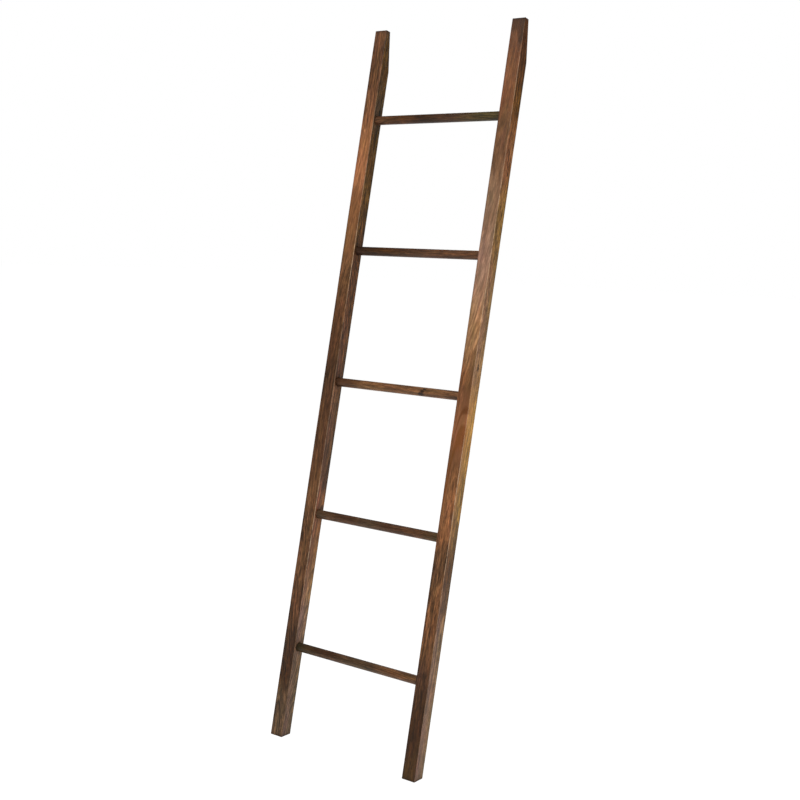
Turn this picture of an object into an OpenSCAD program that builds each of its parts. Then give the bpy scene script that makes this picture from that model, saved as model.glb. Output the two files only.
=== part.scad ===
// Leaning blanket ladder. Two square rails lean back against a wall and carry round rungs,
// whose ends are glued into blind sockets bored in the rails' inner faces.
// Frame: +X across the ladder, +Y towards the wall, +Z up. The floor is z = 0, and the
// origin is on the floor under the middle of the ladder's own box. Lengths are millimetres.

/* [Rails] */
// Length of a rail along its front face
rail_length = 1829; // [1720:1:2100]
// Width of a rail, seen from the front
rail_width = 37; // [30:0.5:50]
// Depth of a rail, from its front face to its back face
rail_depth = 33; // [28:0.5:45]
// Distance between the rails, centre to centre
rail_spacing = 417; // [300:1:600]
// Radius of the eased long edges
edge_radius = 1.2; // [0.5:0.1:3]

/* [Lean] */
// Angle that the rails lean back from upright, in degrees
lean = 10.2; // [7:0.1:15]
// Depth of wood left at a rail's top, in front of the cut that lies on the wall
top_depth = 15; // [10:0.5:22]

/* [Rungs] */
// Diameter of a rung
rung_diameter = 22.5; // [16:0.5:24]
// Place of the lowest rung, measured up the rail from its foot
first_rung = 229.5; // [150:0.5:330]
// Distance from one rung to the next, measured along the rail
rung_pitch = 341.5; // [250:0.5:365]
// Size of the small chamfer round each rung's hidden ends
rung_chamfer = 1; // [0.5:0.1:2]

/* [Glued joints] */
// Depth of the blind sockets that hold the rungs
socket_depth = 22; // [12:0.5:24]
// Gap left for glue between a rung and its socket's wall
glue_gap = 0.05; // [0.05:0.05:0.2]
// Gap left for glue between a rung's end and its socket's floor
glue_pocket = 1; // [0.5:0.1:2]

/* [Hidden] */
RUNGS = [1 : 5];
$fn = 48;
rail_brown = "#6f4a33";
rung_brown = "#56382a";
wall_y = rail_length * sin(lean) + top_depth * cos(lean);
front_y = -wall_y / 2;
clear_width = rail_spacing - rail_width;
rung_length = clear_width + 2 * (socket_depth - glue_pocket);
trim = 4 * rail_width;

// Distance from a rail's foot to the centre of rung i. Rung 1 is the lowest.
function rung_place(i) = first_rung + (i - 1) * rung_pitch;

// Places its children in the leaning frame: X across, Y into a rail's depth from its front
// face, and Z up along the rail from the front edge of its foot.
module leaning() {
    translate([0, front_y, 0])
        rotate([-lean, 0, 0])
            children();
}

// Cross-section of a rail, centred on X, with its four corners eased.
module rail_section() {
    flat_width = rail_width - 2 * edge_radius;
    flat_depth = rail_depth - 2 * edge_radius;
    translate([-flat_width / 2, 0])
        square([flat_width, rail_depth]);
    translate([-rail_width / 2, edge_radius])
        square([rail_width, flat_depth]);
    for (side = [-1, 1], back = [0, 1])
        translate([side * flat_width / 2, edge_radius + back * flat_depth])
            circle(r = edge_radius);
}

// Block under the floor, which cuts a rail's foot level.
module floor_cut() {
    translate([-trim / 2, front_y - trim / 2, -trim])
        cube(trim);
}

// Block behind the wall's plane, which cuts the back of a rail's top end upright.
module wall_cut() {
    translate([-trim / 2, wall_y / 2, 0])
        cube([trim, trim, rail_length]);
}

// Blind socket for one rung, bored from a rail's inner face. Inward is 1 where that face
// looks along +X, and -1 where it looks along -X.
module socket(inward) {
    mouth = 1;
    translate([inward * (rail_width / 2 - socket_depth), rail_depth / 2, 0])
        rotate([0, inward * 90, 0])
            cylinder(d = rung_diameter + 2 * glue_gap, h = socket_depth + mouth);
}

// Rail centred on X, with its sockets.
module rail(inward) {
    difference() {
        leaning() linear_extrude(rail_length) rail_section();
        floor_cut();
        wall_cut();
        leaning()
            for (i = RUNGS)
                translate([0, 0, rung_place(i)]) socket(inward);
    }
}

module left_rail() {
    color(rail_brown) translate([-rail_spacing / 2, 0, 0]) rail(1);
}

module right_rail() {
    color(rail_brown) translate([rail_spacing / 2, 0, 0]) rail(-1);
}

// Round rung with chamfered ends, which reach into the sockets of both rails.
module rung(i) {
    straight = rung_length - 2 * rung_chamfer;
    color(rung_brown)
        leaning()
            translate([0, rail_depth / 2, rung_place(i)])
                rotate([0, 90, 0]) {
                    cylinder(d = rung_diameter, h = straight, center = true);
                    for (end = [0, 1])
                        mirror([0, 0, end])
                            translate([0, 0, straight / 2])
                                cylinder(d1 = rung_diameter,
                                         d2 = rung_diameter - 2 * rung_chamfer,
                                         h = rung_chamfer);
                }
}

left_rail();
right_rail();
for (i = RUNGS)
    rung(i);
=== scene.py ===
"""Looks of a leaning blanket ladder: walnut-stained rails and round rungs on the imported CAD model.

Lengths are metres in the CAD's own frame: X across, Y towards the wall, Z up, floor at z = 0.
Each wooden piece is a mesh of its own. It is built in its board's frame, whose last axis runs
along the grain, and it keeps that place as the vertex attribute "board" for its material.
"""
import math

import bmesh
import bpy
import numpy as np
from mathutils import Matrix, Vector, noise


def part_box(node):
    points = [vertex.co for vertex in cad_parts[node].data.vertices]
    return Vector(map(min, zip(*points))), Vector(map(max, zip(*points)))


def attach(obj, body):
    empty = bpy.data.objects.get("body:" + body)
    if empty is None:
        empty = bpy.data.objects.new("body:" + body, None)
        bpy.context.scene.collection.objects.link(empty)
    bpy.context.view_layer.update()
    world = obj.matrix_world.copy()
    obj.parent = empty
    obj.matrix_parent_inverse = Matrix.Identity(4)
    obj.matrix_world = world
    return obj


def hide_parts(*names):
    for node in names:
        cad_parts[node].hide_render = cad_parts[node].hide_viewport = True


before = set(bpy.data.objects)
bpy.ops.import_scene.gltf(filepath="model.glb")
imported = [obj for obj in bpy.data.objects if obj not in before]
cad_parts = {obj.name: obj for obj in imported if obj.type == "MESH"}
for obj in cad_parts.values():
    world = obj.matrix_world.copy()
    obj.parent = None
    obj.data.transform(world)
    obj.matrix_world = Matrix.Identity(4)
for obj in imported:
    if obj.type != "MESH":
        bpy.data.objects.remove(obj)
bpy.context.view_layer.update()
mm = 0.001

# ---------------------------------------------------------------- sizes, read from the CAD frame
RUNGS = [1, 2, 3, 4, 5]


def middle(node):
    low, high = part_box(node)
    return (low + high) / 2


rail_low, rail_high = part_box("left_rail")
rung_low, rung_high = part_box("rung_1")
up_the_rail = (middle("rung_5") - middle("rung_1")).normalized()
lean = math.atan2(up_the_rail.y, up_the_rail.z)
foot_front = Vector((0, rail_low.y, 0))
rail_width = rail_high.x - rail_low.x
rail_length = rail_high.z / math.cos(lean)
into_depth = Vector((0, math.cos(lean), -math.sin(lean)))
rail_depth = 2 * (middle("rung_1") - foot_front).dot(into_depth)
top_depth = (rail_high.y - rail_low.y - rail_length * math.sin(lean)) / math.cos(lean)
wall_cut_start = rail_length - (rail_depth - top_depth) / math.tan(lean)
rung_radius = (rung_high.z - rung_low.z) / 2
rung_length = rung_high.x - rung_low.x
rung_places = [(middle(f"rung_{i}") - foot_front).dot(up_the_rail) for i in RUNGS]
rail_x = {"left_rail": middle("left_rail").x, "right_rail": middle("right_rail").x}
gap_half_width = abs(rail_x["right_rail"]) - rail_width / 2
leaning = Matrix.Translation(foot_front) @ Matrix.Rotation(-lean, 4, "X")

# ---------------------------------------------------------------- small sizes of the woodwork
EDGE = 1.2 * mm  # radius of the eased long edges
END_EDGE = 0.7 * mm  # radius of the eased cut ends
ARC_STEPS = 5
CELLS = 8  # cells across each flat face, and across each socket's window
SUPPORT = 0.5 * mm  # narrow strip that keeps a flat face flat beside its eased edge
WINDOW = 14 * mm  # half the height of the patch of inner face round a socket
SOCKET_GAP = 0.05 * mm
SOCKET_CHAMFER = 0.35 * mm
SOCKET_DEPTH = 22 * mm
RUNG_CHAMFER = 1 * mm
RUNG_SIDES = 40
ROW = 8 * mm  # usual distance between rows of vertices on a rail
RUNG_ROW = 5 * mm
NEAR_END = [3 * mm, 5.5 * mm, 9 * mm]  # closer rows beside each cut end
WAVE = 0.10 * mm  # how far hand sanding leaves a face from true
DENTS = 26  # small knocks along the edges of each rail
FOOT_REACH = 0.1  # share of a rail in which its rows turn from level at the foot to square
# How much each long edge is painted pale, as wear and painted highlight, and how much painted shade
# it has, from the front's +X edge round.
ARRISES = [(1.0, 0.0), (0.3, 0.35), (0.3, 0.35), (0.0, 0.45)]
END_DARK_REACH = 4.5 * mm  # how far the darker rim reaches in from a cut end
JOINT_SHADE_STRENGTH = 0.3  # how strongly shade is painted where the rungs meet the rails
JOINT_REACH = 9 * mm
CUT_REACH = 5 * mm  # how far the painted shade reaches in from the slanting end grain of the wall cut
CUT_FADE = 20 * mm  # and how far up the cut it takes to reach its full strength
LIP_SHADE_STRENGTH = 0.45  # how strongly shade is painted on a socket's lip


def wander(x, y, z, seed):
    """Smooth noise from about -1 to 1, the same on every run."""
    return noise.noise(Vector((x + 17.3 * seed, y - 5.1 * seed, z + 3.7 * seed)))


class Shape:
    """A mesh in a board's frame, with the values that its material reads at each vertex.

    edge is 1 where an arris is painted pale, rubbed bare and as a painted highlight, the next value
    is 1 at the darker rims of the cut ends and where shade is painted, and side is 1 on an X face."""

    def __init__(self):
        self.bm = bmesh.new()
        self.layers = {}
        for name in ("edge", "end_dark_and_painted_shade", "side"):
            self.layers[name] = self.bm.verts.layers.float.new(name)
        self.board = self.bm.verts.layers.float_vector.new("board")

    def vertex(self, place, grain, edge=0.0, end_dark_and_painted_shade=0.0, side=0.0):
        v = self.bm.verts.new(place)
        v[self.board] = grain
        for name, value in (("edge", edge), ("end_dark_and_painted_shade", end_dark_and_painted_shade), ("side", side)):
            v[self.layers[name]] = value
        return v

    def face(self, *verts):
        return self.bm.faces.new(verts)

    def join(self, a, b):
        """Quads between two closed loops with the same number of vertices."""
        for i, j in zip(range(len(a)), [*range(1, len(a)), 0]):
            self.face(a[i], a[j], b[j], b[i])

    def piece(self, name, matrix, material, slot, node):
        bmesh.ops.recalc_face_normals(self.bm, faces=self.bm.faces)
        mesh = bpy.data.meshes.new(name)
        self.bm.to_mesh(mesh)
        self.bm.free()
        mesh.transform(matrix)
        mesh.shade_smooth()
        mesh.materials.append(material)
        obj = bpy.data.objects.new(name, mesh)
        bpy.context.scene.collection.objects.link(obj)
        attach(obj, "root")
        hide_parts(node)
        return obj


# ---------------------------------------------------------------- rails
def depth_at(t):
    """Depth of a rail at distance t from its foot: less where its back is cut for the wall."""
    if t <= wall_cut_start:
        return rail_depth
    return rail_depth - (t - wall_cut_start) * math.tan(lean)


def section(width, depth, radii):
    """Points round a rail's section, front face first, as (x, y, face, share along the face).

    face is 0 front, 1 +X, 2 back, 3 -X, and arcs have the face they follow plus a half."""
    corners = [(-1, 0), (1, 0), (1, 1), (-1, 1)]
    points = []
    for k in range(4):
        (ax, ay), (bx, by) = corners[k], corners[(k + 1) % 4]
        ra, rb = radii[k], radii[(k + 1) % 4]
        start = Vector((ax * width / 2, ay * depth))
        stop = Vector((bx * width / 2, by * depth))
        along = (stop - start).normalized()
        inward = Vector((-along.y, along.x))
        flat = (stop - start).length - ra - rb
        inner = [SUPPORT + (flat - 2 * SUPPORT) * i / CELLS for i in range(CELLS + 1)]
        for s in [0, *inner, flat]:
            p = start + along * (ra + s)
            points.append((p.x, p.y, k, s / flat))
        centre = stop - along * rb + inward * rb
        for i in range(1, ARC_STEPS):
            a = math.pi / 2 * i / ARC_STEPS
            p = centre + (along * math.sin(a) - inward * math.cos(a)) * rb
            points.append((p.x, p.y, k + 0.5, i / ARC_STEPS))
    return points


def edge_values(face, share):
    """How much a point of the section is painted pale, rubbed bare and as a painted highlight, and
    how much painted shade it has.

    The rail's width stands for the width of every face here."""
    arris_wear_and_highlight, edge_shade = ARRISES[int(face) if face % 1 or share > 0.5 else int(face) - 1]
    if face % 1:
        return arris_wear_and_highlight * (0.6 + 0.4 * math.sin(math.pi * share)), edge_shade
    from_edge = min(share, 1 - share) * rail_width
    if from_edge > 1.5 * SUPPORT:
        return 0.0, 0.0
    return (0.6 * arris_wear_and_highlight, edge_shade) if from_edge == 0 else (0.0, 0.7 * edge_shade)


def joint_painted_shade(distance):
    """Painted shade at a distance from the middle of a joint."""
    return JOINT_SHADE_STRENGTH * math.exp(-max(0.0, distance - rung_radius) / JOINT_REACH)


def side_share(face, share):
    """0 on the front and back, 1 on the X faces, and from one to the other round each arc."""
    if face % 1:
        return share if int(face) in (0, 2) else 1 - share
    return 1.0 if face in (1, 3) else 0.0


def outward(face, x, y_from_middle):
    """The way a point of the section faces: square to a flat face, and aslant round an arc."""
    if face in (0, 2):
        x = 0
    elif face in (1, 3):
        y_from_middle = 0
    return Vector((x, y_from_middle)).normalized()


def rail_rows():
    """Distances from the foot of the rows of vertices, and the first row of each window."""
    stops = [(2 * END_EDGE, None)] + [(near, None) for near in NEAR_END]
    for place in rung_places:
        stops += [(place - WINDOW, "window"), (place + WINDOW, None)]
    for step in (-3, -1, 0, 1, 3):
        stops.append((wall_cut_start + step * mm, None))
    stops += [(rail_length - near, None) for near in reversed(NEAR_END)]
    stops.append((rail_length - 2 * END_EDGE, None))
    rows, windows = [stops[0][0]], []
    for (a, kind), (b, _) in zip(stops, stops[1:]):
        if kind == "window":
            windows.append(len(rows) - 1)
        count = CELLS if kind == "window" else max(1, round((b - a) / ROW))
        rows += [a + (b - a) * i / count for i in range(1, count + 1)]
    return rows, windows


class Rail(Shape):
    """A rail with sockets in its +X face if inner is 1, or in its -X face if inner is -1.

    The third argument is how much shade is painted along the wall cut at its top."""

    def __init__(self, inner, seed, cut_painted_shade):
        super().__init__()
        self.inner = inner
        self.seed = seed
        self.cut_painted_shade = cut_painted_shade
        self.dents = np.random.default_rng(seed).uniform(0, 1, (DENTS, 3))
        self.joints = [Vector((inner * rail_width / 2, rail_depth / 2, t)) for t in rung_places]
        rows, windows = rail_rows()
        foot = [self.end_ring(0, a) for a in (0, 30, 60, 90)]
        top = [self.end_ring(rail_length, a) for a in (90, 60, 30, 0)]
        rings = foot + [self.ring(t) for t in rows] + top
        windows = [len(foot) + w for w in windows]
        self.skin(rings, windows)
        for w, place in zip(windows, rung_places):
            self.socket(rings[w:w + CELLS + 1], place)
        for loop, t in ((rings[0], 0.0), (rings[-1], rail_length)):
            inside = self.ring(t, inset=END_EDGE + SUPPORT)
            self.join(loop, inside)
            self.face(*inside)

    def first_column(self):
        """The first vertex of each ring that a socket's window spans."""
        on_flat, on_arc = CELLS + 3, ARC_STEPS - 1
        per_face = on_flat + on_arc
        return (per_face if self.inner > 0 else 3 * per_face) + 1

    def knock(self, t, corner):
        """Depth of the small dents in one long edge at distance t from the foot."""
        depth = 0.0
        for place, size, on in self.dents:
            away = (t - place * rail_length) / ((2 + 5 * size) * mm)
            if abs(away) < 3 and int(on * 4) == corner:
                depth += (0.15 + 0.45 * size) * mm * math.exp(-away * away)
        return depth

    def ring(self, t, inset=0.0):
        """The loop of vertices round the rail at distance t from its foot."""
        level = math.tan(lean) * max(0.0, 1 - t / (FOOT_REACH * rail_length))
        uneven = [1 + 0.35 * wander(t * 14, corner * 3.0, 0, self.seed) for corner in range(4)]
        radii = [max(0.3 * mm, EDGE * u - 0.6 * inset) for u in uneven]
        depth = depth_at(t)
        # a darker rim near each cut end
        end_dark_and_painted_shade = math.exp(-min(t, rail_length - t) / END_DARK_REACH)
        # painted shade along the wall cut, strongest at its back and higher up
        cut = self.cut_painted_shade * min(1.0, max(0.0, t - wall_cut_start) / CUT_FADE)
        verts = []
        for x, y, face, share in section(rail_width - 2 * inset, depth - 2 * inset, radii):
            y += inset
            pull = WAVE * 0.5 * (1 + wander(x * 25, y * 25, t * 9, self.seed + 5))
            if face % 1:
                pull += self.knock(t, int(face)) * math.sin(math.pi * share)
            out = outward(face, x, y - depth / 2)
            x, y = x - out.x * pull, y - out.y * pull
            p = Vector((x, y, t + y * level))
            side = side_share(face, share)
            # painted shade round each joint on the X faces
            joint_shade = side * joint_painted_shade(min((p - joint).length for joint in self.joints))
            # a pale line painted on the edges as wear and painted highlight, and painted shade along
            # some edges
            arris_wear_and_highlight, edge_shade = edge_values(face, share)
            dark_and_shade = max(end_dark_and_painted_shade, joint_shade, edge_shade, cut * math.exp((y - depth) / CUT_REACH))
            verts.append(self.vertex(p, p, arris_wear_and_highlight, dark_and_shade, side))
        return verts

    def end_ring(self, t, degrees):
        """A loop on the rounding of a cut end, from its flat at 0 to the rail's faces at 90."""
        a = math.radians(degrees)
        step = END_EDGE * (1 - math.cos(a))
        return self.ring(step if t == 0 else t - step, END_EDGE * (1 - math.sin(a)))

    def skin(self, rings, windows):
        """Quads between the rings, with the sockets' windows left open."""
        columns = range(self.first_column(), self.first_column() + CELLS)
        for r, (a, b) in enumerate(zip(rings, rings[1:])):
            in_window = any(w <= r < w + CELLS for w in windows)
            for i in range(len(a)):
                if not (in_window and i in columns):
                    j = (i + 1) % len(a)
                    self.face(a[i], a[j], b[j], b[i])

    def socket(self, rows, place):
        """Opens a round blind socket in the window of rows, and blends its mouth into the face."""
        first = self.first_column()
        last = first + CELLS
        walk = [(0, c) for c in range(first, last)]
        walk += [(r, last) for r in range(CELLS)]
        walk += [(CELLS, c) for c in range(last, first, -1)]
        walk += [(r, first) for r in range(CELLS, 0, -1)]
        outline = [rows[r][c] for r, c in walk]
        bore = rung_radius + SOCKET_GAP
        # painted shade round the socket's mouth, on its lip and darkest on its floor
        mouth = self.circle(bore + SOCKET_CHAMFER, WAVE / 2, place, len(outline), JOINT_SHADE_STRENGTH)
        middle = Vector((self.inner * rail_width / 2, rail_depth / 2, place))
        halo = []
        for outer, near in zip(outline, mouth):
            p = outer.co.lerp(near.co, 0.6)
            halo.append(self.vertex(p, p, side=1.0, end_dark_and_painted_shade=joint_painted_shade((p - middle).length)))
        lip = self.circle(bore, SOCKET_CHAMFER, place, len(outline), LIP_SHADE_STRENGTH)
        floor_ = self.circle(bore, SOCKET_DEPTH, place, len(outline), 1.0)
        loops = [outline, halo, mouth, lip, floor_]
        for a, b in zip(loops, loops[1:]):
            self.join(a, b)
        self.face(*floor_)

    def circle(self, radius, depth, place, count, end_dark_and_painted_shade):
        """A loop of a socket, starting at the corner where the window's outline starts."""
        loop = []
        for k in range(count):
            a = math.radians(225) + 2 * math.pi * k / count
            x = self.inner * (rail_width / 2 - depth)
            # the face runs front to back on the +X side and back to front on the -X side
            y = rail_depth / 2 + self.inner * radius * math.cos(a)
            p = (x, y, place + radius * math.sin(a))
            loop.append(self.vertex(p, p, end_dark_and_painted_shade=end_dark_and_painted_shade, side=1.0))
        return loop


# ---------------------------------------------------------------- rungs
def rung_rows():
    """Places and radii along half a rung, from its middle out to its end."""
    half = rung_length / 2
    near = [gap_half_width - step for step in reversed([1 * mm, *NEAR_END])]
    count = round(near[0] / RUNG_ROW)
    places = [near[0] * i / count for i in range(count)] + near
    places += [gap_half_width, (gap_half_width + half) / 2]
    rows = [(x, rung_radius) for x in places]
    return rows + [(half - RUNG_CHAMFER, rung_radius), (half, rung_radius - RUNG_CHAMFER)]


def rung(seed):
    """A round bar along X. Its board's frame has the bar's own length as its last axis."""
    shape = Shape()
    half_rows = rung_rows()
    rows = [(-x, r) for x, r in reversed(half_rows[1:])] + half_rows
    loops = []
    for x, radius in rows:
        # painted shade on the rung where it meets the rails
        end_dark_and_painted_shade = joint_painted_shade(rung_radius + max(0.0, gap_half_width - abs(x)))
        loop = []
        for i in range(RUNG_SIDES):
            a = 2 * math.pi * i / RUNG_SIDES
            y, z = math.cos(a), math.sin(a)
            r = radius - 0.5 * WAVE * (1 + wander(y * 0.8, z * 0.8, x * 12, seed))
            loop.append(shape.vertex((x, y * r, z * r), (y * r, z * r, x), end_dark_and_painted_shade=end_dark_and_painted_shade))
        loops.append(loop)
    for a, b in zip(loops, loops[1:]):
        shape.join(a, b)
    shape.face(*loops[0])
    shape.face(*loops[-1])
    return shape


# ---------------------------------------------------------------- walnut
# Tones of the stained walnut, as displayed red, green and blue from 0 to 255.
TONES = {
    "char": (51, 30, 13),
    "moss": (57, 46, 20),
    "bistre": (60, 35, 14),
    "umber": (71, 46, 28),
    "cocoa": (84, 54, 32),
    "sienna": (92, 56, 30),
    "mocha": (98, 66, 40),
    "olive": (88, 60, 25),
    "smoke": (92, 69, 47),
    "ochre": (104, 67, 27),
    "taupe": (109, 82, 60),
    "chestnut": (113, 74, 44),
    "russet": (128, 82, 52),
    "fawn": (133, 98, 66),
    "rose": (134, 102, 82),
    "honey": (155, 113, 58),
}
WEAR_AND_HIGHLIGHT_COLOUR = (170, 140, 112)  # pale colour painted along edges, as wood whose stain wore off and as a painted highlight
KNOT = (38, 24, 15)
KNOT_COVER = 0.9  # how much of the wood's own colour a knot hides

# Tints of the stained wood, as factors on its red, green and blue.
RUDDY = (1.06, 0.97, 0.95)
MOSSY = (0.96, 1.03, 0.96)
COOL = (1.02, 0.99, 1.12)
SIDE_FRONT_SHEEN = (1.05, 1.0, 1.15)  # painted sheen, lighter and bluer, on the front half of an X face, on the lower part of a rail
SIDE_BACK_SHADE = (0.96, 0.99, 0.78)  # painted shade on its back half, all the way up
DARK_AND_SHADE_TINT = (0.26, 0.21, 0.19)  # tint of the darker rims at the cut ends and of the painted shade

# How much of its light a shade of a tone gives back, beside the plain tone.
SHADES = {"deep": 0.75, "dark": 0.87, "light": 1.15, "pale": 1.3}

# How the tone drifts along each board: (share of its length, shade and tone). A rail's shares run
# from its foot up, and a rung's from its left end. A rail has one run for its front and back, and
# one for its X faces.
LEFT_FRONT = [(0, "pale smoke"), (0.05, "deep smoke"), (0.09, "light bistre"),
              (0.13, "dark umber"), (0.18, "pale cocoa"), (0.25, "mocha"), (0.33, "mocha"),
              (0.39, "pale cocoa"), (0.5, "umber"), (0.58, "cocoa"), (0.66, "dark mocha"),
              (0.73, "chestnut"), (0.81, "light russet"), (0.86, "light chestnut"),
              (0.92, "cocoa"), (0.955, "deep cocoa"), (1, "cocoa")]
LEFT_SIDE = [(0, "deep taupe"), (0.1, "pale smoke"), (0.15, "dark rose"), (0.2, "light fawn"),
             (0.25, "chestnut"), (0.32, "russet"), (0.38, "cocoa"), (0.46, "light mocha"),
             (0.53, "light cocoa"), (0.66, "dark sienna"), (0.75, "olive"),
             (0.82, "deep olive"), (0.89, "deep smoke"), (0.93, "deep olive"),
             (0.975, "olive"), (1, "dark smoke")]
RIGHT_FRONT = [(0, "deep olive"), (0.05, "light bistre"), (0.09, "pale bistre"),
               (0.14, "light umber"), (0.19, "chestnut"), (0.27, "mocha"),
               (0.34, "pale chestnut"), (0.4, "chestnut"), (0.45, "russet"),
               (0.52, "dark chestnut"), (0.58, "light fawn"), (0.68, "rose"),
               (0.74, "light taupe"), (0.78, "light taupe"), (0.83, "dark mocha"),
               (0.89, "light sienna"), (0.91, "pale sienna"), (0.935, "light sienna"),
               (0.955, "dark sienna"), (0.972, "dark sienna"), (0.98, "bistre"),
               (1, "dark bistre")]
RIGHT_SIDE = [(0, "taupe"), (0.08, "pale taupe"), (0.18, "pale taupe"), (0.23, "mocha"),
              (0.28, "deep ochre"), (0.33, "deep honey"), (0.38, "dark honey"),
              (0.43, "honey"), (0.48, "pale honey"), (0.55, "light fawn"), (0.64, "fawn"),
              (0.72, "deep honey"), (0.82, "light russet"), (0.88, "ochre"),
              (0.93, "deep sienna"), (0.965, "light sienna"), (1, "dark sienna")]
RUNG_TONES = {
    1: [(0, "deep moss"), (0.3, "umber"), (0.45, "deep smoke"), (0.6, "deep smoke"),
        (0.75, "mocha"), (1, "mocha")],
    2: [(0, "deep smoke"), (0.3, "light umber"), (0.45, "deep smoke"), (0.6, "umber"),
        (0.8, "cocoa"), (1, "moss")],
    3: [(0, "dark bistre"), (0.12, "dark cocoa"), (0.3, "light mocha"), (0.75, "light mocha"),
        (1, "dark mocha")],
    4: [(0, "deep char"), (0.3, "bistre"), (0.5, "umber"), (0.7, "dark cocoa"),
        (1, "dark cocoa")],
    5: [(0, "dark cocoa"), (0.25, "light bistre"), (0.42, "deep char"), (0.6, "deep umber"),
        (0.8, "pale moss"), (1, "moss")],
}

# How much each rail's edges are painted pale, as wear and painted highlight: (share of the length,
# amount).
LEFT_WEAR_AND_HIGHLIGHT = [(0, 0.1), (0.19, 0.3), (0.25, 1), (0.32, 1), (0.38, 0.4), (0.6, 0.3), (0.68, 1),
             (0.75, 0.4), (0.84, 0.4), (0.9, 0.1), (1, 0.1)]
RIGHT_WEAR_AND_HIGHLIGHT = [(0, 0.1), (0.2, 0.3), (0.29, 0.8), (0.4, 0.9), (0.46, 0.4), (0.53, 0.4),
              (0.6, 0.8), (0.76, 0.9), (0.8, 0.3), (0.92, 0.4), (1, 0)]

# Where the heart of the tree runs past each board: (share of the length, mm across, mm in).
LEFT_HEART = [(0, -4, 22), (0.06, -10, 28), (0.15, -34, 36), (0.25, -56, 40), (0.45, -60, 34),
              (0.6, -52, 32), (0.75, -18, 36), (0.88, -14, 40), (1, -26, 34)]
RIGHT_HEART = [(0, 0, 22), (0.2, 5, 18), (0.34, 9, 19), (0.41, 11, 24), (0.48, 12, 31),
               (0.54, 19, 38), (0.61, 33, 46), (0.69, 54, 54), (0.78, 76, 58), (1, 84, 50)]
RUNG_HEART = [(0, 14, 30), (0.5, 20, 36), (1, 16, 28)]

# Bold arches on the front of the right rail, as bands of tint that fade into each other:
# (distance of the band's apex from the rail's foot in mm, tint).
ARCH_TINTS = {"plain": (1, 1, 1), "tongue": (0.82, 0.7, 0.44), "brown": (0.7, 0.6, 0.4),
              "light": (1.12, 1.12, 1.08), "dim": (0.91, 0.88, 0.83), "pale": (1.17, 1.15, 1.16)}
ARCHES = [(740, "plain"), (770, "plain"), (800, "tongue"), (838, "tongue"), (848, "light"),
          (868, "light"), (874, "brown"), (881, "brown"), (892, "plain"), (1000, "plain"),
          (1025, "dim"), (1035, "pale"), (1042, "pale"), (1054, "plain"), (1080, "dim"),
          (1090, "dim"), (1096, "pale"), (1103, "pale"), (1114, "dim"), (1135, "plain")]
ARCH_MIDDLE = 11 * mm  # how far the lowest apex lies to the right of the rail's axis
ARCH_DRIFT = 0.007  # how much further right an apex lies for each metre that it is higher
ARCH_STEEPNESS = 3.5e5  # an arch drops by this times the fourth power of the metres aside
ARCH_WAVE = (0.006, 0, 0.02)  # how far they stray from a true curve, in metres
ARCH_DEPTH = (1.5 * mm, 12 * mm)  # where below the front face they start and end fading
ARCH_QUIET = 0.75  # how much of the other figure they hide

# How strongly the grain shows along each board: (share of its length, strength), with faces as
# for the tone.
STRENGTHS = {"quiet": 0.65, "soft": 0.85, "even": 1.0, "strong": 1.3}
LEFT_FIGURE = [[(0, "strong"), (0.29, "strong"), (0.35, "soft"), (0.5, "even"), (0.64, "even"),
                (0.7, "quiet"), (0.84, "quiet"), (0.9, "even")],
               [(0, "even"), (0.42, "even"), (0.52, "strong"), (1, "strong")]]
RIGHT_FIGURE = [[(0, "soft"), (0.14, "even"), (0.2, "strong"), (0.29, "strong"), (0.36, "even"),
                 (0.5, "soft"), (0.57, "quiet"), (1, "quiet")],
                [(0, "soft"), (0.22, "strong"), (0.36, "soft"), (0.64, "soft"), (0.76, "strong"),
                 (1, "strong")]]
RUNG_FIGURE = [[(0, "soft"), (1, "soft")]]

RING = 3.8 * mm  # a year's growth
REACH = 100 * mm  # the furthest that a heart may lie from its board's own axis
RAMP_TOP = 2.0  # the greatest factor that is kept in a colour ramp, which holds it as 1

# Roughness of the finish, and what fibres, pores, the darker end rims and the painted shade add to
# it.
ROUGH = 0.36
FIBRE_ROUGH = 0.16
PORE_ROUGH = 0.12
DARK_AND_SHADE_ROUGH = 0.35
# What fibres, pores and late wood add to the height of the surface, in shares of RELIEF.
FIBRE_HEIGHT = 0.5
PORE_HEIGHT = -0.8
LATE_HEIGHT = 0.35
RELIEF = 0.3 * mm
RELIEF_SHOWN = 0.35


def linear(display, gain=1):
    """A displayed colour from 0 to 255 as the linear red, green, blue and alpha of a shader."""
    share = [c / 255 for c in display]
    parts = [c / 12.92 if c <= 0.04045 else ((c + 0.055) / 1.055) ** 2.4 for c in share]
    return [*(gain * part for part in parts), 1]


def toned(words):
    """The linear colour of a tone, or of a shade of it, such as "pale cocoa"."""
    *shade, tone = words.split()
    return linear(TONES[tone], SHADES[shade[0]] if shade else 1)


def grey(value):
    return (value, value, value, 1)


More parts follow.
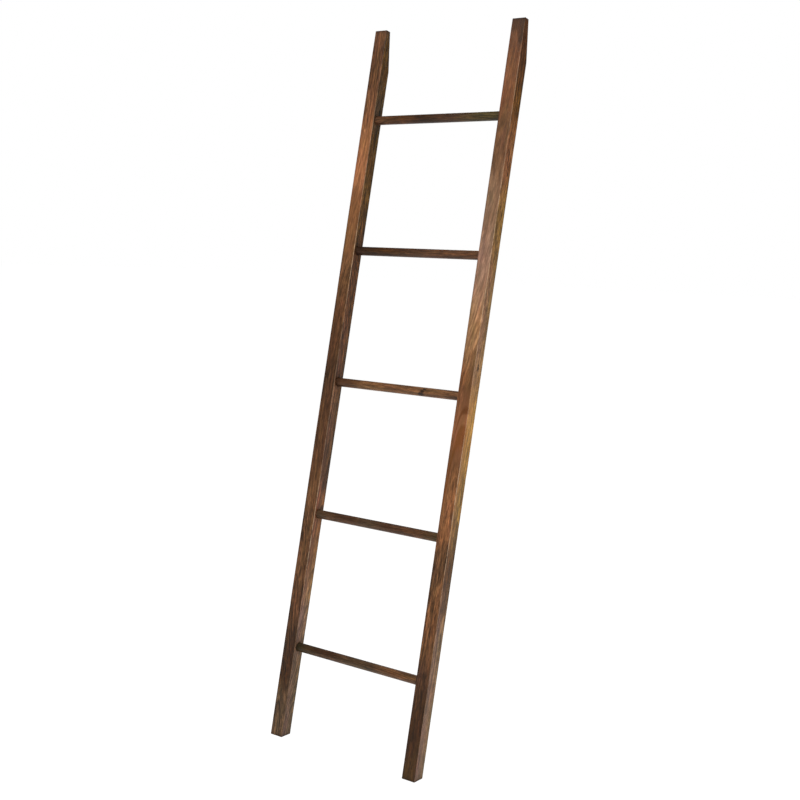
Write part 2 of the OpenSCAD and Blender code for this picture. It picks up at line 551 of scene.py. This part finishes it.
class Wiring:
    """Short names for a material's nodes. An input may be a number, a colour or an output."""

    def __init__(self, name):
        self.material = bpy.data.materials.new(name)
        self.material.use_nodes = True
        self.tree = self.material.node_tree
        self.tree.nodes.clear()

    def node(self, kind, inputs=(), **settings):
        made = self.tree.nodes.new("ShaderNode" + kind)
        for key, value in settings.items():
            setattr(made, key, value)
        for key, value in dict(inputs).items():
            self.put(value, made.inputs[key])
        return made

    def put(self, value, socket):
        if isinstance(value, bpy.types.NodeSocket):
            self.tree.links.new(value, socket)
        else:
            socket.default_value = value

    def read(self, attribute, kind="Fac"):
        return self.node("Attribute", attribute_name=attribute).outputs[kind]

    def sum(self, operation, *values):
        return self.node("Math", dict(enumerate(values)), operation=operation).outputs[0]

    def place(self, operation, *values):
        return self.node("VectorMath", dict(enumerate(values)), operation=operation).outputs[0]

    def length(self, vector):
        return self.node("VectorMath", {0: vector}, operation="LENGTH").outputs["Value"]

    def split(self, vector):
        return self.node("SeparateXYZ", {"Vector": vector}).outputs

    def noise(self, vector, scale, detail=2.0, rough=0.5, output="Fac"):
        """Noise with its own scale along each axis of the board, in features per metre."""
        stretched = self.place("MULTIPLY", vector, scale)
        inputs = {"Vector": stretched, "Scale": 1.0, "Detail": detail, "Roughness": rough}
        return self.node("TexNoise", inputs).outputs[output]

    def spread(self, value, low, high, to_low=0.0, to_high=1.0):
        inputs = {"Value": value, "From Min": low, "From Max": high,
                  "To Min": to_low, "To Max": to_high}
        return self.node("MapRange", inputs, interpolation_type="SMOOTHSTEP").outputs[0]

    def ramp(self, value, stops, interpolation="EASE"):
        made = self.node("ValToRGB", {"Fac": value})
        made.color_ramp.interpolation = interpolation
        elements = made.color_ramp.elements
        elements[0].position, elements[0].color = stops[0]
        elements[-1].position, elements[-1].color = stops[-1]
        for place, colour in stops[1:-1]:
            elements.new(place).color = colour
        return made.outputs["Color"]

    def mix(self, factor, a, b, blend="MIX"):
        made = self.node("Mix", data_type="RGBA", blend_type=blend)
        for value, number in ((factor, 0), (a, 6), (b, 7)):
            self.put(value, made.inputs[number])
        return made.outputs[2]

    def tinted(self, colour, factor, tint):
        """The colour multiplied by a tint, as far as the factor says."""
        return self.mix(factor, colour, (*tint, 1), "MULTIPLY")

    def scaled(self, colour, value):
        return self.place("MULTIPLY", colour, self.node("CombineXYZ", dict(enumerate([value] * 3)))
                          .outputs[0])


class Walnut(Wiring):
    """Stained walnut of one board, with a thin satin finish.

    start and length say where the board runs along its grain. heart is the path of the tree's
    heart past it, and knots are (across, into, along, radius)."""

    def __init__(self, name, start, length, heart, seed, knots=(), arches=()):
        super().__init__(name)
        self.seed = seed
        self.arches = arches
        self.board = self.read("board", "Vector")
        along = self.split(self.board)[2]
        self.share = self.sum("DIVIDE", self.sum("SUBTRACT", along, start), length)
        self.grain = self.straighten(heart)
        self.knots, bulge = self.find_knots(knots)
        self.year = self.growth(bulge)

    def shifted(self, vector, step):
        """The same noise field, taken elsewhere, so that no two uses of it look alike."""
        offset = (self.seed * 0.31 + step, self.seed * 0.17 - step, self.seed * 0.53 + 2 * step)
        return self.place("ADD", vector, offset)

    def straighten(self, heart):
        """Places measured from the wandering heart, so that what runs along them follows it."""
        stops = []
        for share, across, into in heart:
            code = [0.5 + offset * mm / (2 * REACH) for offset in (across, into, 0)]
            stops.append((share, (*code, 1)))
        path = self.ramp(self.share, stops, "B_SPLINE")
        centre = self.place("MULTIPLY", self.place("SUBTRACT", path, (0.5,) * 3), (2 * REACH,) * 3)
        drift = self.noise(self.shifted(self.board, 0.0), (6, 6, 3), 2.0, 0.5, "Color")
        drift = self.place("MULTIPLY", self.place("SUBTRACT", drift, (0.5,) * 3), (0.03,) * 3)
        return self.place("ADD", self.place("SUBTRACT", self.board, centre), drift)

    def find_knots(self, knots):
        """Masks of the knots, and how far each pushes the growth rings round itself."""
        dark, bulge = 0.0, 0.0
        for across, into, along, radius in knots:
            away = self.place("SUBTRACT", self.board, (across, into, along))
            away = self.length(self.place("MULTIPLY", away, (1, 1, 0.6)))
            rough = self.noise(self.shifted(self.board, 3.0), (300, 300, 200), 1.0)
            away = self.sum("MULTIPLY_ADD", self.sum("SUBTRACT", rough, 0.5), radius, away)
            mask = self.spread(away, 0.7 * radius, 1.4 * radius, 1.0, 0.0)
            dark = self.sum("MAXIMUM", dark, mask)
            bulge = self.sum("MULTIPLY_ADD", self.spread(away, 0, 5 * radius, 1.0, 0.0),
                             3 * radius, bulge)
        return dark, bulge

    def growth(self, bulge):
        """Share of its year at which each point grew, in rings of uneven width."""
        x, y, _ = self.split(self.grain)
        flat = self.node("CombineXYZ", {0: x, 1: y}).outputs[0]
        radius = self.sum("ADD", self.length(flat), bulge)
        uneven = self.noise(self.shifted(self.grain, 1.0), (26, 26, 2.0), 2.0)
        years = self.sum("MULTIPLY_ADD", uneven, 1.8, self.sum("DIVIDE", radius, RING))
        return self.sum("FRACT", years)

    def cathedral(self):
        """The tint of the bold arches on the front, and how much they quiet the other figure."""
        wave = self.noise(self.shifted(self.board, 14.0), (40, 40, 14), 1.0, 0.5, "Color")
        wave = self.place("MULTIPLY", self.place("SUBTRACT", wave, (0.5,) * 3), ARCH_WAVE)
        x, into, along = self.split(self.place("ADD", self.board, wave))
        low, high = self.arches[0][0] * mm, self.arches[-1][0] * mm
        above = self.sum("SUBTRACT", along, low)
        middle = self.sum("MULTIPLY_ADD", above, ARCH_DRIFT, ARCH_MIDDLE)
        apart = self.sum("SUBTRACT", x, middle)
        drop = self.sum("MULTIPLY", self.sum("POWER", self.sum("ABSOLUTE", apart), 4.0),
                        ARCH_STEEPNESS)
        place = self.sum("DIVIDE", self.sum("ADD", above, drop), high - low)
        stops = []
        for height, tint in self.arches:
            share = (height * mm - low) / (high - low)
            stops.append((share, (*(part / RAMP_TOP for part in ARCH_TINTS[tint]), 1)))
        tint = self.place("MULTIPLY", self.ramp(place, stops, "LINEAR"), (RAMP_TOP,) * 3)
        shown = self.spread(into, *ARCH_DEPTH, 1.0, 0.0)
        # the other figure quietens from the lowest arch to about half-way up
        among = self.sum("MULTIPLY", self.spread(place, -0.1, 0.1), self.spread(place, 0.6, 0.4))
        quiet = self.sum("MULTIPLY_ADD", self.sum("MULTIPLY", among, shown), -ARCH_QUIET, 1.0)
        return self.mix(shown, (1, 1, 1, 1), tint), quiet

    def rings(self):
        """How dark each point's ring is from 0 to 1, and the rings' factor on the tone."""
        stops = [(0, 0.3), (0.05, 0.0), (0.15, 0.25), (0.5, 0.45), (0.82, 0.75), (0.92, 1.0),
                 (1, 0.55)]
        late = self.ramp(self.year, [(at, grey(v)) for at, v in stops], "LINEAR")
        showing = self.noise(self.shifted(self.board, 5.0), (9, 9, 3))
        strength = self.spread(showing, 0.35, 0.65, 0.35, 1.05)
        factor = self.sum("MULTIPLY_ADD", self.sum("SUBTRACT", 0.48, late), strength, 1.0)
        return late, factor

    def texture(self):
        """The grain's factor on the tone, and its late wood, fibres and pores from 0 to about 1."""
        late, value = self.rings()
        fibre = self.noise(self.shifted(self.grain, 6.0), (1000, 1000, 18), 2.0, 0.6)
        pore = self.noise(self.shifted(self.grain, 8.0), (2400, 2400, 90), 1.0)
        pore = self.sum("MULTIPLY", self.spread(pore, 0.57, 0.68), self.sum("SUBTRACT", 1.1, late))
        layers = [  # place, step, scale, detail, least and greatest factor
            (self.grain, 2.0, (150, 150, 8), 2.0, 0.71, 1.29),
            (self.grain, 4.0, (200, 200, 26), 3.0, 0.56, 1.44),
            (self.grain, 12.0, (420, 420, 70), 1.0, 0.74, 1.26),
            (self.board, 7.0, (40, 40, 12), 2.0, 0.9, 1.1),
        ]
        for place, step, scale, detail, least, most in layers:
            grain = self.noise(self.shifted(place, step), scale, detail, 0.6)
            value = self.sum("MULTIPLY", value, self.spread(grain, 0.28, 0.72, least, most))
        value = self.sum("MULTIPLY", value, self.spread(fibre, 0.28, 0.72, 0.88, 1.12))
        value = self.sum("MULTIPLY", value, self.sum("MULTIPLY_ADD", pore, -0.5, 1.03))
        return value, late, fibre, pore

    def drift(self, share, runs, colour_of):
        """The front's run along the board, and on the X faces their own run if there is one."""
        ramps = []
        for run in runs:
            ramps.append(self.ramp(share, [(place, colour_of(value)) for place, value in run]))
        return self.mix(self.read("side"), *ramps) if len(ramps) > 1 else ramps[0]

    def tone(self, runs):
        """The colour of the wood and its stain before its grain, with a painted sheen on the front
        half of the X faces low down and painted shade on their back half.
        """
        hue = self.noise(self.shifted(self.board, 9.0), (30, 30, 9), 2.0)
        share = self.sum("MULTIPLY_ADD", self.sum("SUBTRACT", hue, 0.5), 0.08, self.share)
        colour = self.drift(share, runs, toned)
        hue = self.noise(self.shifted(self.board, 10.0), (70, 70, 14), 3.0)
        colour = self.tinted(colour, self.spread(hue, 0.5, 0.7), RUDDY)
        colour = self.tinted(colour, self.spread(hue, 0.5, 0.3), MOSSY)
        hue = self.noise(self.shifted(self.board, 13.0), (60, 60, 12), 2.0)
        colour = self.tinted(colour, self.spread(hue, 0.5, 0.7), COOL)
        if len(runs) == 1:
            return colour
        side, into = self.read("side"), self.split(self.board)[1]
        # painted sheen, lighter and bluer, near the front of the X faces low down, and painted shade
        # towards their back
        near = self.sum("MULTIPLY", side, self.spread(into, 0.55 * rail_depth, 0.1 * rail_depth))
        far = self.sum("MULTIPLY", side, self.spread(into, 0.4 * rail_depth, 0.9 * rail_depth))
        near = self.sum("MULTIPLY", near, self.spread(self.share, 0.8, 0.55))
        colour = self.tinted(colour, near, SIDE_FRONT_SHEEN)
        return self.tinted(colour, far, SIDE_BACK_SHADE)

    def marks(self, colour, wear_and_highlight):
        """Adds pale edges, rubbed bare and as a painted highlight, knots, darker rims at the cut
        ends, and painted shade at joints, sockets, edges and the wall cut.
        """
        patchy = self.noise(self.shifted(self.board, 11.0), (80, 80, 40), 4.0, 0.65)
        # a pale line painted along the edges, as wear and painted highlight
        if wear_and_highlight:
            amount = self.ramp(self.share, [(place, grey(value)) for place, value in wear_and_highlight])
            amount = self.sum("MULTIPLY", amount, self.spread(patchy, 0.38, 0.55, 0.25, 1.1))
            amount = self.sum("MULTIPLY", amount, self.read("edge"))
            colour = self.mix(amount, colour, linear(WEAR_AND_HIGHLIGHT_COLOUR))
        if self.knots:
            cover = self.sum("MULTIPLY", self.knots, KNOT_COVER)
            colour = self.mix(cover, colour, linear(KNOT))
        # darker rims at the cut ends, and painted shade at joints, sockets, edges and the wall cut
        end_dark_and_painted_shade = self.sum("MULTIPLY", self.read("end_dark_and_painted_shade"), self.spread(patchy, 0.35, 0.6, 0.85, 1.0))
        return self.tinted(colour, end_dark_and_painted_shade, DARK_AND_SHADE_TINT)

    def strength(self, figure):
        """How strongly the grain shows, as a factor."""
        held = self.drift(self.share, figure, lambda word: grey(STRENGTHS[word] / RAMP_TOP))
        return self.sum("MULTIPLY", held, RAMP_TOP)

    def finish(self, runs, figure, wear_and_highlight=()):
        """The whole material, from the runs of tone, of the grain's strength and of the pale edges,
        rubbed bare and painted as highlight.
        """
        value, late, fibre, pore = self.texture()
        colour = self.tone(runs)
        strength = self.strength(figure)
        if self.arches:
            tint, quiet = self.cathedral()
            strength = self.sum("MULTIPLY", quiet, strength)
            colour = self.place("MULTIPLY", colour, tint)
        value = self.sum("MULTIPLY_ADD", self.sum("SUBTRACT", value, 1.0), strength, 1.0)
        colour = self.marks(self.scaled(colour, value), wear_and_highlight)
        rough = self.sum("MULTIPLY_ADD", fibre, FIBRE_ROUGH, ROUGH)
        rough = self.sum("MULTIPLY_ADD", pore, PORE_ROUGH, rough)
        rough = self.sum("MULTIPLY_ADD", self.read("end_dark_and_painted_shade"), DARK_AND_SHADE_ROUGH, rough)
        height = self.sum("MULTIPLY", fibre, FIBRE_HEIGHT)
        height = self.sum("MULTIPLY_ADD", pore, PORE_HEIGHT, height)
        height = self.sum("MULTIPLY_ADD", late, LATE_HEIGHT, height)
        bump = self.node("Bump", {
            "Height": height, "Strength": RELIEF_SHOWN, "Distance": RELIEF})
        shader = self.node("BsdfPrincipled", {
            "Base Color": colour, "Roughness": rough, "Normal": bump.outputs[0],
            "IOR": 1.5, "Specular IOR Level": 0.2})
        self.node("OutputMaterial", {"Surface": shader.outputs[0]})
        return self.material


# ---------------------------------------------------------------- the pieces
def make_rail(name, inner, seed, cut_painted_shade, runs, figure, wear_and_highlight, heart, knots=(), arches=()):
    """One rail. inner and cut_painted_shade are as for Rail, and the rest is as for Walnut."""
    walnut = Walnut(f"walnut_{name}", 0.0, rail_length, heart, seed, knots, arches)
    wood = walnut.finish(runs, figure, wear_and_highlight)
    place = leaning @ Matrix.Translation((rail_x[name], 0, 0))
    Rail(inner, seed, cut_painted_shade).piece(f"{name}_wood", place, wood, "rail_wood", name)


def make_rung(i, up, knots):
    """Rung i, at distance up from the rails' feet."""
    seed = 20 + i
    walnut = Walnut(f"walnut_rung_{i}", -rung_length / 2, rung_length, RUNG_HEART, seed, knots)
    wood = walnut.finish([RUNG_TONES[i]], RUNG_FIGURE)
    place = leaning @ Matrix.Translation((0, rail_depth / 2, up))
    rung(seed).piece(f"rung_{i}_wood", place, wood, "rung_wood", f"rung_{i}")


def rung_knot(angle, along, radius):
    """A knot on a rung's surface, at an angle in radians up from the front."""
    return (-math.cos(angle) * rung_radius, math.sin(angle) * rung_radius, along, radius)


OUTER = rail_width / 2
SIDE_KNOTS = [(OUTER, 15.5 * mm, 0.982, 3.4 * mm), (OUTER, 14.5 * mm, 0.990, 2 * mm),
              (OUTER, 20 * mm, 1.452, 2.6 * mm)]
RUNG_KNOTS = {3: [rung_knot(-0.66, 0.078, 5 * mm), rung_knot(0.0, 0.083, 3.2 * mm),
                  rung_knot(0.6, 0.087, 2.6 * mm)]}

make_rail("left_rail", inner=1, seed=3, cut_painted_shade=0.9, runs=[LEFT_FRONT, LEFT_SIDE],
          figure=LEFT_FIGURE, wear_and_highlight=LEFT_WEAR_AND_HIGHLIGHT, heart=LEFT_HEART)
make_rail("right_rail", inner=-1, seed=8, cut_painted_shade=0.2, runs=[RIGHT_FRONT, RIGHT_SIDE],
          figure=RIGHT_FIGURE, wear_and_highlight=RIGHT_WEAR_AND_HIGHLIGHT, heart=RIGHT_HEART, knots=SIDE_KNOTS,
          arches=ARCHES)
for i, up in zip(RUNGS, rung_places):
    make_rung(i, up, RUNG_KNOTS.get(i, ()))


# ---------------------------------------------------------------- floor, light and camera
def floor():
    """A white floor that runs out to the horizon.

    It gives off nearly all of its white itself, so that it stays white and shows no shadow."""
    half = 60.0
    glow = 0.99
    mesh = bpy.data.meshes.new("floor")
    mesh.from_pydata([(-half, -half, 0), (half, -half, 0), (half, half, 0), (-half, half, 0)],
                     [], [(0, 1, 2, 3)])
    w = Wiring("pale_floor")
    shader = w.node("BsdfPrincipled", {
        "Base Color": (0.12, 0.12, 0.12, 1), "Roughness": 0.9, "Specular IOR Level": 0.1,
        "Emission Color": (1, 1, 1, 1), "Emission Strength": glow})
    w.node("OutputMaterial", {"Surface": shader.outputs[0]})
    mesh.materials.append(w.material)
    obj = bpy.data.objects.new("floor", mesh)
    bpy.context.scene.collection.objects.link(obj)


def softbox(name, place, target, size, watts):
    """A white rectangular light at a place, turned to a target."""
    light = bpy.data.lights.new(name, "AREA")
    light.shape = "RECTANGLE"
    light.size, light.size_y = size
    light.energy = watts
    obj = bpy.data.objects.new(name, light)
    obj.location = place
    aim = Vector(target) - Vector(place)
    obj.rotation_euler = aim.to_track_quat("-Z", "Y").to_euler()
    obj.visible_camera = False
    bpy.context.scene.collection.objects.link(obj)


def surroundings():
    """White to the camera, and a dimmer grey as light, so that the wood keeps its depth."""
    world = bpy.data.worlds.new("studio")
    bpy.context.scene.world = world
    world.use_nodes = True
    nodes, links = world.node_tree.nodes, world.node_tree.links
    nodes.clear()
    seen = nodes.new("ShaderNodeBackground")
    seen.inputs["Color"].default_value = (1, 1, 1, 1)
    seen.inputs["Strength"].default_value = 1.0
    light = nodes.new("ShaderNodeBackground")
    light.inputs["Color"].default_value = (1.0, 0.99, 0.97, 1)
    light.inputs["Strength"].default_value = 0.1
    path = nodes.new("ShaderNodeLightPath")
    mix = nodes.new("ShaderNodeMixShader")
    out = nodes.new("ShaderNodeOutputWorld")
    links.new(path.outputs["Is Camera Ray"], mix.inputs[0])
    links.new(light.outputs[0], mix.inputs[1])
    links.new(seen.outputs[0], mix.inputs[2])
    links.new(mix.outputs[0], out.inputs[0])


def camera():
    """In front of the ladder and to its right, at chest height, turned slightly on its axis."""
    place = Vector((1.8716, -2.5028, 1.2146))
    yaw, pitch, roll = (math.radians(a) for a in (36.57, -6.32, 2.33))
    data = bpy.data.cameras.new("camera")
    data.sensor_width = 36
    data.lens = 57.17
    obj = bpy.data.objects.new("camera", data)
    upright = Matrix.Rotation(yaw, 4, "Z") @ Matrix.Rotation(math.pi / 2 + pitch, 4, "X")
    obj.matrix_world = Matrix.Translation(place) @ upright @ Matrix.Rotation(roll, 4, "Z")
    bpy.context.scene.collection.objects.link(obj)
    bpy.context.scene.camera = obj


floor()
surroundings()
softbox("key", place=(0.25, -1.7, 3.2), target=(0, 0, 1.6), size=(1.4, 1.0), watts=75)
softbox("side", place=(2.3, -0.2, 0.5), target=(0, 0, 0.4), size=(0.9, 0.7), watts=14)
softbox("back", place=(-0.8, 2.8, 2.6), target=(0, 0, 1.0), size=(2.0, 2.0), watts=40)
camera()
bpy.context.scene.view_settings.view_transform = "Standard"
